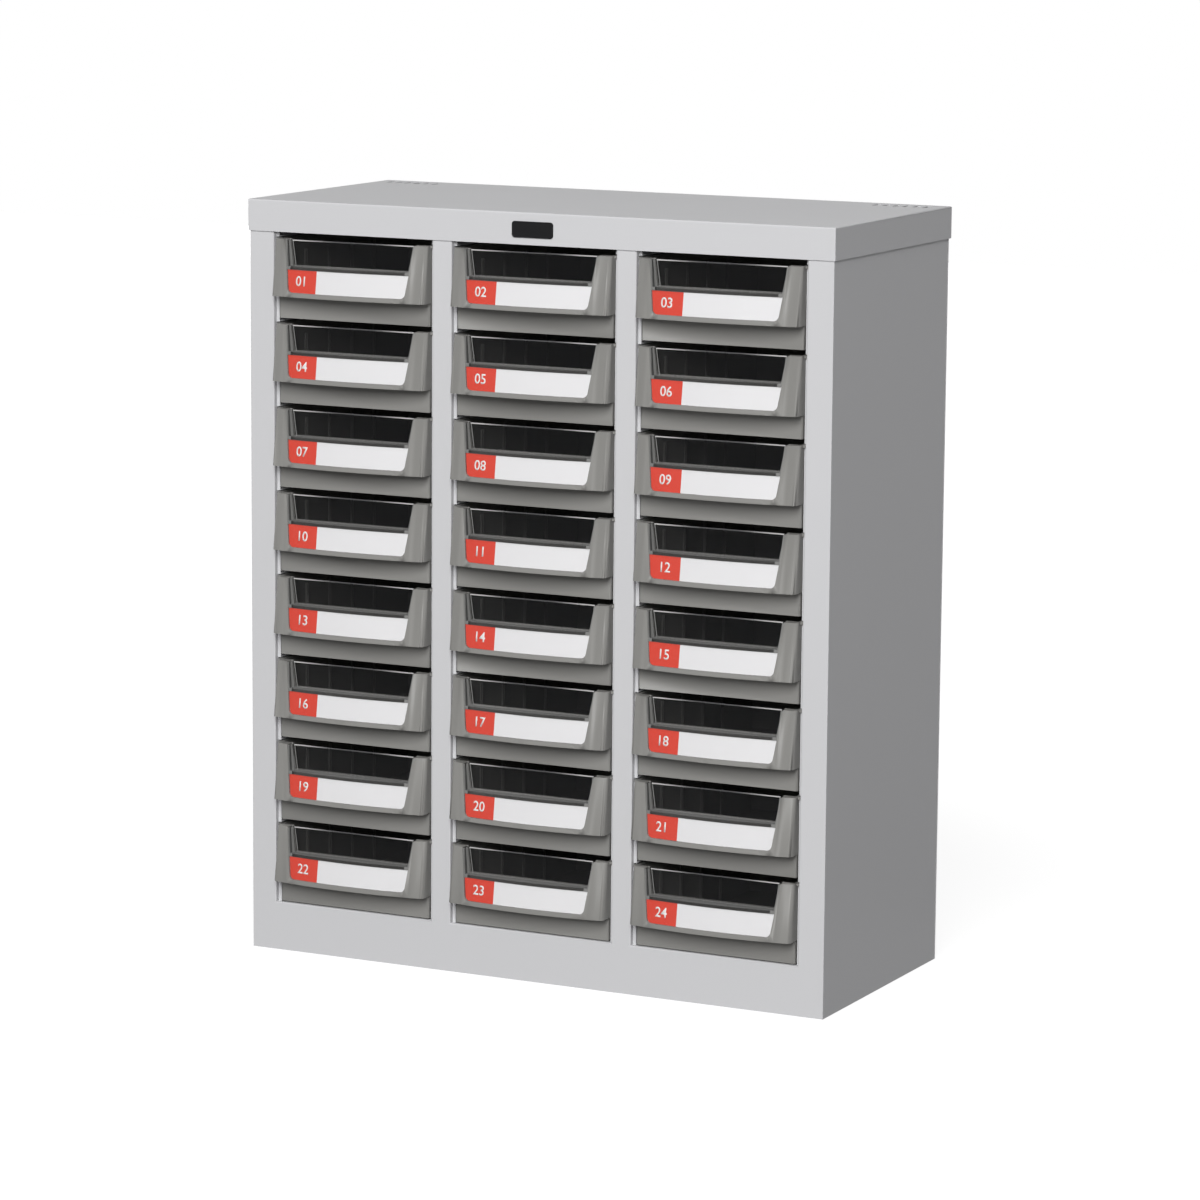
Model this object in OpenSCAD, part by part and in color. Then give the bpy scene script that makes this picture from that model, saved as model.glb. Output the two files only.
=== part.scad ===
// Parts cabinet: a sheet-steel casing with columns of small plastic drawers. Each drawer
// hangs by its rim on the ledges of the runner uprights and pulls straight out to the front.
// Origin at the centre of the base. +Z is up, the drawers face -Y, lengths are millimetres.

/* [Layout] */
// Columns of drawers side by side
columns = 3; // [1:1:3]
// Rows of drawers one above the other
rows = 8; // [1:1:8]
// Width of one column's opening in the front frame
opening_w = 150.5; // [140:0.1:200]
// Width of the outer stiles at the left and right
stile_w = 22.8; // [20:0.1:40]
// Width of the mullions between two columns
mullion_w = 18; // [14:0.5:40]
// Height of the rail below the bottom row
rail_h = 41.3; // [25:0.1:100]
// Depth of the body without the cap
body_d = 235; // [233:0.5:320]

/* [Sheet metal] */
// Sheet thickness of the body
sheet_t = 1; // [0.8:0.1:1.5]
// Sheet thickness of the top cap
cap_t = 1.2; // [0.8:0.1:2]
// Height of the cap's skirt
skirt_h = 26.5; // [18:0.5:40]
// Space between the cap's rear skirt and the back panel
cap_back_gap = 1.8; // [0.5:0.1:4]
// Depth of the folds round each opening, from the front plane
frame_return = 4.7; // [4:0.1:12]
// Depth of the front frame's lips inside the side panels
frame_lip = 10; // [5:0.5:25]
// Width of the side panels' top and rear flanges
panel_flange = 12; // [9:0.5:12.5]
// Height of the bottom pan's flanges
pan_flange = 15; // [8:0.5:22]
// Width of the outer uprights' rear flanges
upright_flange = 10; // [8:0.5:10.5]
// Running space left between two folded edges that pass each other
fold_gap = 1; // [0.3:0.1:2]

/* [Cap slots] */
// Slots in each rear corner of the cap
slot_count = 6; // [2:1:8]
// Distance from one slot to the next
slot_pitch = 9; // [6:0.1:14]
// Width of a slot
slot_w = 4; // [2:0.5:5]
// Length of a slot
slot_l = 15; // [6:0.5:30]
// Distance from the cap's side to the first slot's centre
slot_side = 14.5; // [10:0.5:40]
// Distance from the cap's rear edge to the slots' centres
slot_back = 18.5; // [18.5:0.5:60]

/* [Name plate] */
// Width of the plain name plate
plate_w = 37.5; // [20:0.5:60]
// Height of the name plate
plate_h = 13.3; // [8:0.1:16]
// Thickness of the name plate
plate_t = 1; // [0.5:0.1:2]
// Corner radius of the name plate
plate_r = 2.6; // [0.5:0.1:3.5]
// Distance from the cabinet's top to the name plate's centre
plate_drop = 14; // [9:0.5:16]

/* [Rivets] */
// Rivets in each upright line on the back
rivet_rows = 5; // [2:1:8]
// Distance from the top and bottom of a line to its first rivet
rivet_margin = 45; // [25:1:80]
// Diameter of a rivet's shank
rivet_d = 3.2; // [2.4:0.1:4]
// Diameter of a rivet's head
rivet_head_d = 6.5; // [5:0.1:7.5]
// Height of a rivet's head
rivet_head_h = 1.1; // [0.6:0.1:1.6]
// Diameter of a rivet's set end
rivet_tail_d = 4.8; // [4.2:0.1:6]
// Length of a rivet's set end
rivet_tail_h = 1.5; // [0.8:0.1:2.5]

/* [Drawer tray] */
// Height of a tray with its rim
tray_h = 66.7; // [60:0.1:110]
// Length of a tray from front wall to rear wall
tray_l = 221; // [205:0.5:222]
// Wall and floor thickness of a tray
wall_t = 1.8; // [1.2:0.1:2.4]
// Radius of a tray's upright corners
tray_corner_r = 1.5; // [1:0.5:12]
// Radius along a tray's bottom edges
tray_bottom_r = 3; // [2.5:0.5:8]
// Thickness of the rim that runs on the ledges
rim_t = 2; // [1.2:0.1:3]
// Overhang of the rim behind the rear wall
rear_rim = 2; // [0.5:0.1:3]
// Distance that a drawer pulls out before its stops meet the uprights
travel = 180; // [60:1:185]
// Length of a stop ear
ear_l = 12; // [5:0.5:20]
// Height of a stop ear
ear_h = 10; // [4:0.5:25]

/* [Divider ribs] */
// Divider positions along a tray
rib_rows = 4; // [1:1:4]
// Distance from one divider position to the next
rib_pitch = 39; // [20:0.5:45]
// Thickness of a rib
rib_t = 1.2; // [0.8:0.1:2]
// Distance that a rib stands out from the wall
rib_proud = 1.5; // [0.8:0.1:3]
// Slot for a divider between the two ribs of a pair
rib_slot = 1.6; // [1:0.1:3]
// Distance from the rim's top down to the ribs
rib_drop = 12; // [5:0.5:25]

/* [Drawer clearances] */
// Space between the openings' top edge and the first row's rims
head_gap = 5.4; // [3:0.1:12]
// Space from a tray's floor to the rims of the row below
drawer_gap = 4.6; // [3.2:0.1:12]
// Space from the bottom row's floors to the rail
sill_gap = 1; // [0.3:0.1:5]
// Width of the ledges that carry the rims
ledge_w = 2.7; // [1.5:0.1:5]
// Space between a tray's side and a ledge's edge
side_gap = 1; // [0.5:0.1:2]
// Space between a rim's edge and the upright
rim_gap = 1; // [0.5:0.1:1.2]
// Running space between a closed drawer and what carries and stops it
seat_gap = 0.3; // [0.2:0.1:0.8]
// Space above a rim below the keeper that stops it from tipping
keeper_gap = 1; // [0.5:0.1:1.5]
// Space between a bezel's side and the opening's edge
bezel_gap = 3; // [0.3:0.1:3.4]

/* [Drawer bezel] */
// Height of the bezel from the rim's top down to its lip
bezel_h = 47.4; // [46.4:0.1:54]
// Distance that the lip stands in front of the front plane, at the middle
bezel_reach = 16; // [14:0.1:24]
// Lean of the bezel's face in degrees, with the lip forward
bezel_tilt = 8; // [5:0.5:12]
// Radius of the bezel's bow from side to side
bow_r = 430; // [380:10:1200]
// Radius of the bezel's upright corners
bezel_corner_r = 4; // [3:0.5:8]
// Wall thickness of the bezel
bezel_t = 2; // [1.2:0.1:2.4]

/* [Window and label] */
// Width of the window at the rim's height
window_top_w = 122.4; // [90:0.2:124]
// Width of the window at its foot, before its corners are rounded
window_foot_w = 110.4; // [80:0.2:118]
// Distance from the rim's top down to the window's foot
window_drop = 43.6; // [42:0.1:43.9]
// Radius of the window's lower corners
window_r = 4.5; // [2.4:0.1:6]
// Thickness of the upright pane
pane_t = 1.5; // [1:0.1:2]
// Thickness of the label cover, the ledge and the side returns
clear_t = 1.2; // [0.8:0.1:1.6]
// Distance from the rim's top down to the pane's top edge
pane_drop = 0.6; // [0.3:0.1:3]
// Distance from the rim's top down to the ledge at the pane's foot
shelf_drop = 22; // [18:0.2:22.4]
// Distance that the pane overlaps the front wall round its opening
pane_lap = 1.5; // [1:0.1:2.5]
// Clearance all round the clear insert
insert_fit = 0.15; // [0.1:0.05:0.3]
// Distance that the label cover lies below the bezel's face
cover_sink = 0.3; // [0.1:0.1:0.6]
// Thickness of the label card
card_t = 0.4; // [0.2:0.1:0.8]
// Space between the label card and the cover in front of it
card_gap = 0.05; // [0.05:0.05:0.3]
// Distance from the rim's top down to the label card's top edge
card_drop = 24.9; // [24.6:0.1:30]

/* [Hidden] */
row_pitch = tray_h + drawer_gap;
opening_h = head_gap + rows * row_pitch - drawer_gap + sill_gap;
body_w = 2 * stile_w + columns * opening_w + (columns - 1) * mullion_w;
body_h = rail_h + opening_h + skirt_h;
front_y = -body_d / 2;
back_y = body_d / 2;
side_x = body_w / 2;
// The space inside the outer sheets
under_cap = body_h - cap_t;
inner_x = side_x - sheet_t;
inner_back = back_y - sheet_t;
flange_front = inner_back - sheet_t;
lip_end = front_y + sheet_t + frame_lip;
runner_y = front_y + frame_return;
web_foot = pan_flange + fold_gap;

// The drawer's own frame: middle of the opening, front plane, top of the rim
wall_back = frame_return - seat_gap;
wall_front = wall_back - wall_t;
tray_end = wall_front + tray_l;
tray_half = opening_w / 2 - ledge_w - side_gap;
rim_half = opening_w / 2 - rim_gap;
bezel_half = opening_w / 2 - bezel_gap;
ledge_z = -rim_t - seat_gap;
keeper_z = keeper_gap;
ear_z = ledge_z - sheet_t - fold_gap;
ear_y = frame_return + sheet_t + travel + seat_gap;
pane_y = wall_front - pane_t;
window_slope = (window_top_w - window_foot_w) / 2 / window_drop;

// Cuts run past the faces that they open by this much
cut = 1;
// Smallest radius that a tray's inner corners keep
inner_corner_r = 0.5;
// Reach of the blocks that are only there to be trimmed
reach = 60;
fine = 48;
smooth = 360;
arc_steps = 6;

function rivet_columns() = concat(
    [-side_x + panel_flange / 2, side_x - panel_flange / 2],
    [-side_x + stile_w - upright_flange / 2, side_x - stile_w + upright_flange / 2],
    [for (i = [1:1:columns - 1]) mullion_x(i) + mullion_w / 2]);
rivet_step = (body_h - skirt_h - 2 * rivet_margin) / (rivet_rows - 1);

function opening_x(column) = -side_x + stile_w + column * (opening_w + mullion_w);
function mullion_x(i) = opening_x(i) - mullion_w;
function rim_top(row) = body_h - skirt_h - head_gap - row * row_pitch;
function two_digits(n) = str(n < 10 ? "0" : "", n);
function tray_name(n) = str("drawer_", two_digits(n), "_tray");
function window_name(n) = str("drawer_", two_digits(n), "_window");

drawer_count = columns * rows;

// A box between two corners, given as a range along each axis
module block(x, y, z) {
    translate([x[0], y[0], z[0]])
        cube([x[1] - x[0], y[1] - y[0], z[1] - z[0]]);
}

// A flat shape in X and Z, made solid between two depths
module front_prism(y) {
    translate([0, y[1], 0])
        rotate([90, 0, 0])
            linear_extrude(y[1] - y[0])
                children();
}

// A rectangle with round corners between two ranges
module round_rect(x, y, r) {
    translate([x[0] + r, y[0]])
        square([x[1] - x[0] - 2 * r, y[1] - y[0]]);
    translate([x[0], y[0] + r])
        square([x[1] - x[0], y[1] - y[0] - 2 * r]);
    for (cx = [x[0] + r, x[1] - r], cy = [y[0] + r, y[1] - r])
        translate([cx, cy])
            circle(r, $fn = fine);
}

module cap_slots() {
    for (side = [-1, 1], i = [0:slot_count - 1])
        translate([side * (side_x + cap_t - slot_side - i * slot_pitch), back_y + cap_back_gap - slot_back, 0])
            linear_extrude(body_h + cut)
                round_rect([-slot_w / 2, slot_w / 2], [-slot_l / 2, slot_l / 2], slot_w / 2 - 0.01);
}

module top_cap() {
    color("silver")
        difference() {
            block([-side_x - cap_t, side_x + cap_t],
                  [front_y - cap_t, back_y + cap_back_gap + cap_t],
                  [body_h - skirt_h, body_h]);
            block([-side_x, side_x], [front_y, back_y + cap_back_gap],
                  [body_h - skirt_h - cut, under_cap]);
            cap_slots();
        }
}

// The left side panel; the right one is its mirror image
module side_panel() {
    color("lightgray")
        difference() {
            union() {
                block([-side_x, -inner_x], [front_y + sheet_t, inner_back], [0, under_cap]);
                block([-side_x, -side_x + panel_flange], [flange_front, inner_back], [sheet_t, under_cap]);
                block([-side_x, -side_x + panel_flange], [lip_end + fold_gap, inner_back],
                      [under_cap - sheet_t, under_cap]);
            }
            rivet_holes();
        }
}

module left_side_panel() side_panel();

module right_side_panel() mirror([1, 0, 0]) side_panel();

module back_panel() {
    color("darkgray")
        difference() {
            block([-side_x, side_x], [inner_back, back_y], [0, under_cap]);
            rivet_holes();
        }
}

module bottom_pan() {
    rear_half = side_x - panel_flange - fold_gap;
    front_half = inner_x - sheet_t - fold_gap;
    color("darkgray") {
        block([-inner_x, inner_x], [front_y + sheet_t, inner_back], [0, sheet_t]);
        block([-front_half, front_half], [front_y + sheet_t, front_y + 2 * sheet_t], [0, pan_flange]);
        block([-rear_half, rear_half], [flange_front, inner_back], [0, pan_flange]);
        for (side = [0, 1])
            mirror([side, 0, 0])
                block([-inner_x, -inner_x + sheet_t], [lip_end + fold_gap, flange_front], [0, pan_flange]);
    }
}

// The front plate with its folds round each opening and its lips inside the side panels
module front_frame() {
    color("gainsboro")
        difference() {
            union() {
                block([-side_x, side_x], [front_y, front_y + sheet_t], [0, under_cap]);
                for (side = [0, 1])
                    mirror([side, 0, 0])
                        block([-inner_x, -inner_x + sheet_t], [front_y, lip_end], [sheet_t, under_cap]);
                for (column = [0:columns - 1])
                    block([opening_x(column) - sheet_t, opening_x(column) + opening_w + sheet_t],
                          [front_y, runner_y], [rail_h - sheet_t, rail_h + opening_h + sheet_t]);
            }
            for (column = [0:columns - 1])
                block([opening_x(column), opening_x(column) + opening_w],
                      [front_y - cut, runner_y + cut], [rail_h, rail_h + opening_h]);
        }
}

// One upright sheet at the edge of a column, with a ledge and a keeper for each rim.
// The column lies on the +X side of x.
module runner_web(x) {
    difference() {
        union() {
            block([x - sheet_t, x], [runner_y, flange_front], [sheet_t, under_cap]);
            block([x - sheet_t, x + ledge_w], [runner_y, runner_y + sheet_t], [sheet_t, under_cap]);
        }
        for (row = [0:rows - 1])
            block([x, x + ledge_w + cut], [runner_y - cut, runner_y + sheet_t + cut],
                  [rim_top(row) + ledge_z, rim_top(row) + keeper_z]);
    }
    for (row = [0:rows - 1], z = [ledge_z - sheet_t, keeper_z])
        block([x - sheet_t, x + ledge_w], [runner_y, flange_front],
              [rim_top(row) + z, rim_top(row) + z + sheet_t]);
}

// The left outer upright; the right one is its mirror image
module runner_upright() {
    edge = -side_x + stile_w;
    color("lightgray")
        difference() {
            union() {
                runner_web(edge);
                block([edge - upright_flange, edge], [flange_front, inner_back], [web_foot, under_cap]);
            }
            rivet_holes();
        }
}

module left_runner_upright() runner_upright();

module right_runner_upright() mirror([1, 0, 0]) runner_upright();

// Two upright sheets and the web that joins them at the back
module partition(i) {
    left = mullion_x(i);
    right = left + mullion_w;
    color("lightgray")
        difference() {
            union() {
                runner_web(right);
                mirror([1, 0, 0]) runner_web(-left);
                block([left, right], [flange_front, inner_back], [web_foot, under_cap]);
            }
            rivet_holes();
        }
}

module name_plate() {
    z = body_h - plate_drop;
    color("black")
        front_prism([front_y - cap_t - plate_t, front_y - cap_t])
            round_rect([-plate_w / 2, plate_w / 2], [z - plate_h / 2, z + plate_h / 2], plate_r);
}

module at_rivets() {
    for (x = rivet_columns(), i = [0:rivet_rows - 1])
        translate([x, back_y, rivet_margin + i * rivet_step])
            rotate([-90, 0, 0])
                children();
}

module rivet_holes() {
    at_rivets()
        translate([0, 0, -2 * sheet_t - cut])
            cylinder(d = rivet_d, h = 2 * sheet_t + 2 * cut, $fn = fine);
}

module back_rivets() {
    color("gray")
        at_rivets() {
            cylinder(d1 = rivet_head_d, d2 = rivet_head_d - rivet_head_h, h = rivet_head_h, $fn = fine);
            translate([0, 0, -2 * sheet_t])
                cylinder(d = rivet_d, h = 2 * sheet_t, $fn = fine);
            translate([0, 0, -2 * sheet_t - rivet_tail_h])
                cylinder(d = rivet_tail_d, h = rivet_tail_h, $fn = fine);
        }
}

// Plan of the bezel: a bowed front with round corners, set in by inset all round
module bezel_plan(inset) {
    half = bezel_half - inset;
    corner_r = bezel_corner_r - inset;
    bow = bow_r - inset;
    bow_y = bow_r - bezel_reach * cos(bezel_tilt);
    corner_x = half - corner_r;
    corner_y = bow_y - sqrt(pow(bow - corner_r, 2) - pow(corner_x, 2));
    touch_x = corner_x * bow / (bow - corner_r);
    intersection() {
        translate([0, bow_y])
            circle(bow, $fn = smooth);
        translate([-touch_x, -reach])
            square([2 * touch_x, 2 * reach]);
    }
    translate([-half, corner_y])
        square([2 * half, reach - corner_y]);
    for (side = [-1, 1])
        translate([side * corner_x, corner_y])
            circle(corner_r, $fn = fine);
}

// Everything behind the leaning face, moved back by inset
module bezel_block(inset) {
    translate([0, 0, -bezel_h])
        rotate([-bezel_tilt, 0, 0])
            translate([0, 0, -reach])
                linear_extrude(3 * reach)
                    bezel_plan(inset);
}

// Points along an arc round [x, z]
function arc(x, z, r, from, to) =
    [for (i = [0:arc_steps])
        let (angle = from + (to - from) * i / arc_steps)
        [x + r * cos(angle), z + r * sin(angle)]];

// Outline of the window, open at the top, set in by inset
module window_outline(inset) {
    side_angle = atan(window_slope);
    corner_x = window_foot_w / 2 + window_slope * window_r - window_r / cos(side_angle);
    corner_z = window_r - window_drop;
    top_x = window_top_w / 2 - inset / cos(side_angle) + cut * window_slope;
    polygon(concat(
        arc(corner_x, corner_z, window_r - inset, -90, -side_angle),
        [[top_x, cut], [-top_x, cut]],
        arc(-corner_x, corner_z, window_r - inset, 180 + side_angle, 270)));
}

// The bezel: a hollow leaning face with the window cut out, on a back plate
module bezel() {
    difference() {
        intersection() {
            bezel_block(0);
            block([-2 * reach, 2 * reach], [-reach, wall_back], [-bezel_h, 0]);
        }
        intersection() {
            bezel_block(bezel_t);
            block([-2 * reach, 2 * reach], [-reach, wall_front], [-bezel_h + bezel_t, -bezel_t]);
        }
        front_prism([-reach, wall_front])
            window_outline(0);
    }
}

// A tray-shaped block with rounded bottom edges and corners, set in by inset
module tray_block(inset, top) {
    half = tray_half - inset;
    floor_z = -tray_h + inset;
    intersection() {
        front_prism([0, tray_end + cut])
            round_rect([-half, half], [floor_z, tray_h], tray_bottom_r - inset);
        translate([0, 0, floor_z])
            linear_extrude(top - floor_z)
                round_rect([-half, half], [wall_front + inset, tray_end - inset],
                       max(tray_corner_r - inset, inner_corner_r));
    }
}

module divider_ribs() {
    face = tray_half - wall_t;
    for (side = [0, 1], i = [1:rib_rows], end = [-1, 1])
        mirror([side, 0, 0])
            translate([0, wall_back + i * rib_pitch + end * (rib_slot + rib_t) / 2, 0])
                block([face - rib_proud, face + wall_t / 2], [-rib_t / 2, rib_t / 2],
                      [-tray_h + wall_t / 2, -rib_drop]);
}

module stop_ears() {
    for (side = [0, 1])
        mirror([side, 0, 0])
            block([tray_half - wall_t / 2, rim_half], [ear_y, ear_y + ear_l], [ear_z - ear_h, ear_z]);
}

module drawer_tray() {
    color("gray") {
        difference() {
            union() {
                tray_block(0, 0);
                bezel();
                block([-rim_half, rim_half], [wall_front, tray_end + rear_rim], [-rim_t, 0]);
            }
            tray_block(wall_t, cut);
            // The front wall is open behind the pane
            intersection() {
                front_prism([wall_front - cut, wall_back + cut])
                    window_outline(insert_fit + pane_lap);
                block([-2 * reach, 2 * reach], [0, wall_back + cut], [-shelf_drop + pane_lap, cut]);
            }
        }
        divider_ribs();
        stop_ears();
    }
}

// The clear insert: upright pane, side returns, ledge and label cover in one moulding
module clear_insert() {
    color([0.75, 0.78, 0.8, 0.5])
        difference() {
            intersection() {
                front_prism([-reach, wall_front])
                    window_outline(insert_fit);
                bezel_block(cover_sink);
                block([-2 * reach, 2 * reach], [-reach, wall_front], [-window_drop, -pane_drop]);
            }
            // The recess in front of the pane
            intersection() {
                front_prism([-reach, pane_y])
                    window_outline(insert_fit + clear_t);
                block([-2 * reach, 2 * reach], [-reach, pane_y], [-shelf_drop, cut]);
            }
            // The space behind the label
            intersection() {
                bezel_block(cover_sink + clear_t);
                block([-2 * reach, 2 * reach], [-reach, wall_front + cut],
                      [-window_drop - cut, -shelf_drop - clear_t]);
            }
        }
}

module label_card() {
    face = cover_sink + clear_t + card_gap;
    color("white")
        intersection() {
            difference() {
                bezel_block(face);
                bezel_block(face + card_t);
            }
            front_prism([-reach, wall_front])
                window_outline(insert_fit);
            block([-2 * reach, 2 * reach], [-reach, 0], [-window_drop, -card_drop]);
        }
}

module drawer_window() {
    clear_insert();
    label_card();
}

// Drawers are numbered from the top left, row by row
module place_drawer(n) {
    column = (n - 1) % columns;
    row = floor((n - 1) / columns);
    translate([opening_x(column) + opening_w / 2, front_y, rim_top(row)])
        children();
}

top_cap();
left_side_panel();
right_side_panel();
back_panel();
bottom_pan();
front_frame();
left_runner_upright();
right_runner_upright();
for (i = [1:1:columns - 1])
    partition(i);
name_plate();
back_rivets();
for (n = [1:1:drawer_count]) {
    place_drawer(n) drawer_tray();
    place_drawer(n) drawer_window();
}
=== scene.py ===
# %% [markdown]
# # A cabinet of small parts drawers
#
# The real thing is a casing of thin folded sheet steel with a powder coat, and 24 moulded
# plastic drawers that hang in it by their rims. The frame loaded here already has every piece
# at its real place and size. This lesson dresses it: what shows is modelled again with its
# bends, roundings and small details, and what hardly shows only gets a better finish.

# %% Load the frame
import math

import bmesh
import bpy
from mathutils import Matrix, Vector


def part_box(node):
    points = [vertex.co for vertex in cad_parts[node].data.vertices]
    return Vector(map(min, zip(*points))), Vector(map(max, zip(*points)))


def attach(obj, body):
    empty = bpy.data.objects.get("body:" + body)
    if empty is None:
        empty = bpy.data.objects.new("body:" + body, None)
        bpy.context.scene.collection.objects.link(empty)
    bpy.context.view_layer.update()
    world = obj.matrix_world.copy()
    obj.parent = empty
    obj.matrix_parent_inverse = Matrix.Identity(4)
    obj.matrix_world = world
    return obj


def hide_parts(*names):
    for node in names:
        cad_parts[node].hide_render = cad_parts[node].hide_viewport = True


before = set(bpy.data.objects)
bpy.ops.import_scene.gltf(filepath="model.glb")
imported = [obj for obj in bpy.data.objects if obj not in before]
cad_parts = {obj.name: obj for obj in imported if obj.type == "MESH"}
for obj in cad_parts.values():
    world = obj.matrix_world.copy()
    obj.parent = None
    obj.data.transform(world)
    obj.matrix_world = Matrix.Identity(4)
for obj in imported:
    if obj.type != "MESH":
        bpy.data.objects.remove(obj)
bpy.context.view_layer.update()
MM = 0.001

# %% [markdown]
# ## The camera
#
# A product picture is taken from far away with a long lens, so that upright lines stay nearly
# parallel. The camera gets the place, the aim and the small turn about its own axis that such
# a picture has, and nothing else: no shift and no depth of field.

# %% Place the camera
CAMERA_PLACE = Vector((1.7679, -3.5327, 0.9618))
CAMERA_AIM = Vector((-0.44063, 0.88257, -0.16407))
CAMERA_ROLL = math.radians(0.432)
PICTURE_PIXELS = 1200
FOCAL_PIXELS = 4748.4
SENSOR = 36.0

camera_data = bpy.data.cameras.new("product_camera")
camera_data.sensor_fit = "HORIZONTAL"
camera_data.sensor_width = SENSOR
camera_data.lens = SENSOR * FOCAL_PIXELS / PICTURE_PIXELS
camera_data.clip_start = 0.1
camera_data.clip_end = 60.0
camera = bpy.data.objects.new("product_camera", camera_data)
bpy.context.scene.collection.objects.link(camera)
turn = CAMERA_AIM.to_track_quat("-Z", "Y").to_matrix().to_4x4()
camera.matrix_world = Matrix.Translation(CAMERA_PLACE) @ turn @ Matrix.Rotation(CAMERA_ROLL, 4, "Z")
bpy.context.scene.camera = camera
print("lens:", round(camera_data.lens, 1), "mm")

# %% [markdown]
# ## Small helpers for modelling by hand
#
# Each helper is one habit of the workshop: clear the selection, put down a block, pick edges
# by where they lie, cut one solid with another, and finish with a modifier that is applied at
# once. Every block is made at its real place, so a finished piece sits at the origin with its
# place in its mesh.

# %% Selecting and finishing
def select_only(piece):
    """Leaves edit mode and makes piece the one selected, active object."""
    if bpy.context.mode != "OBJECT":
        bpy.ops.object.mode_set(mode="OBJECT")
    bpy.ops.object.select_all(action="DESELECT")
    piece.select_set(True)
    bpy.context.view_layer.objects.active = piece


def finish_with(piece, kind, **settings):
    """Adds a modifier with these settings and applies it."""
    select_only(piece)
    bpy.ops.object.modifier_add(type=kind)
    modifier = piece.modifiers[-1]
    for name, value in settings.items():
        setattr(modifier, name, value)
    bpy.ops.object.modifier_apply(modifier=modifier.name)


def edit_edges(piece, test):
    """Opens piece in edit mode with the edges selected whose ends and length pass test."""
    select_only(piece)
    bpy.ops.object.mode_set(mode="EDIT")
    bpy.ops.mesh.select_mode(type="EDGE")
    bpy.ops.mesh.select_all(action="DESELECT")
    mesh = bmesh.from_edit_mesh(piece.data)
    for edge in mesh.edges:
        if test(edge.verts[0].co, edge.verts[1].co):
            edge.select_set(True)
    bmesh.update_edit_mesh(piece.data)
    return sum(edge.select for edge in mesh.edges)


def edit_faces(piece, test):
    """Opens piece in edit mode with the faces selected whose centre and normal pass test."""
    select_only(piece)
    bpy.ops.object.mode_set(mode="EDIT")
    bpy.ops.mesh.select_mode(type="FACE")
    bpy.ops.mesh.select_all(action="DESELECT")
    mesh = bmesh.from_edit_mesh(piece.data)
    for face in mesh.faces:
        if test(face.calc_center_median(), face.normal):
            face.select_set(True)
    bmesh.update_edit_mesh(piece.data)
    return sum(face.select for face in mesh.faces)


def leave_edit():
    bpy.ops.object.mode_set(mode="OBJECT")


def slice_piece(piece, planes, **settings):
    """Cuts all faces of piece along planes, each given as a point and a direction."""
    select_only(piece)
    bpy.ops.object.mode_set(mode="EDIT")
    for place, normal in planes:
        bpy.ops.mesh.select_all(action="SELECT")
        bpy.ops.mesh.bisect(plane_co=place, plane_no=normal, **settings)
    leave_edit()


# %% Blocks and cuts
# Two places are the same when they lie this near, and a cutting block runs this far past a face
NEAR, PAST = 0.01 * MM, 1.0 * MM
# An edge that turns by more degrees than this is hard
HARD_EDGE = 35


def new_block(name, x, y, z):
    """A block between two places along each axis."""
    bpy.ops.object.select_all(action="DESELECT")
    centre = (sum(x) / 2, sum(y) / 2, sum(z) / 2)
    bpy.ops.mesh.primitive_cube_add(size=1, location=centre)
    block = bpy.context.object
    block.name = name
    bpy.ops.transform.resize(value=(x[1] - x[0], y[1] - y[0], z[1] - z[0]))
    bpy.ops.object.transform_apply(location=True, rotation=True, scale=True)
    return block


def combine(piece, tool, operation):
    """Cuts, joins or overlaps piece with tool, and throws the tool away."""
    finish_with(piece, "BOOLEAN", object=tool, operation=operation, solver="EXACT")
    bpy.data.objects.remove(tool, do_unlink=True)


def round_edges(piece, radius, segments, test):
    """Rounds the edges that pass test, where the two faces meet at a right angle."""
    edit_edges(piece, test)
    bpy.ops.mesh.bevel(offset=radius, segments=segments, affect="EDGES", clamp_overlap=True)
    leave_edit()


def shade_smooth(piece, angle=HARD_EDGE):
    """Shades every edge smooth that turns by less than angle, in degrees."""
    select_only(piece)
    bpy.ops.object.shade_smooth_by_angle(angle=math.radians(angle))


def soften(piece, width, **settings):
    """Takes the sharpness off every hard edge, and shades the rest smooth."""
    finish_with(piece, "BEVEL", width=width, segments=2, limit_method="ANGLE",
                angle_limit=math.radians(HARD_EDGE), use_clamp_overlap=True, **settings)
    shade_smooth(piece)


def shade_sheet(piece):
    """Shades the bends of folded sheet smooth, and keeps its flat faces evenly lit."""
    shade_smooth(piece)
    finish_with(piece, "WEIGHTED_NORMAL", mode="FACE_AREA", keep_sharp=True)


def upright(a, b):
    return abs(a.x - b.x) < NEAR and abs(a.y - b.y) < NEAR


def front_to_back(a, b):
    return abs(a.x - b.x) < NEAR and abs(a.z - b.z) < NEAR


def along_foot(foot):
    """A test for the edges that run from front to back at height foot."""
    return lambda a, b: front_to_back(a, b) and a.z < foot + NEAR


def triangles(piece):
    piece.data.calc_loop_triangles()
    return len(piece.data.loop_triangles)


print("helpers ready")

# %% [markdown]
# ## Sizes
#
# The casing's outer sizes are read from the frame's own pieces, and the sheet, stile, mullion,
# opening and gap sizes are given. A drawer is measured from the middle of its opening, on the
# front plane, at the height of its rim: that is the drawer's own frame, in which one drawer is
# modelled before it is copied 24 times.

# %% Read the casing's sizes
front_low, front_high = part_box("front_frame")
cap_low, cap_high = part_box("top_cap")
plate_low, plate_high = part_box("name_plate")
left_low, left_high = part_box("left_side_panel")
side_x = front_high.x
front_y = front_low.y
back_y = -front_y
SHEET = 1.0 * MM
CAP_SHEET = 1.2 * MM
COLUMNS, ROWS = 3, 8
STILE, MULLION, OPENING = 22.8 * MM, 18.0 * MM, 150.5 * MM
FRAME_RETURN = 4.7 * MM
HEAD_GAP, SILL_GAP = 5.4 * MM, 1.0 * MM
print("casing:", round(2 * side_x, 4), "wide", round(cap_high.z, 4), "high")

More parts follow.
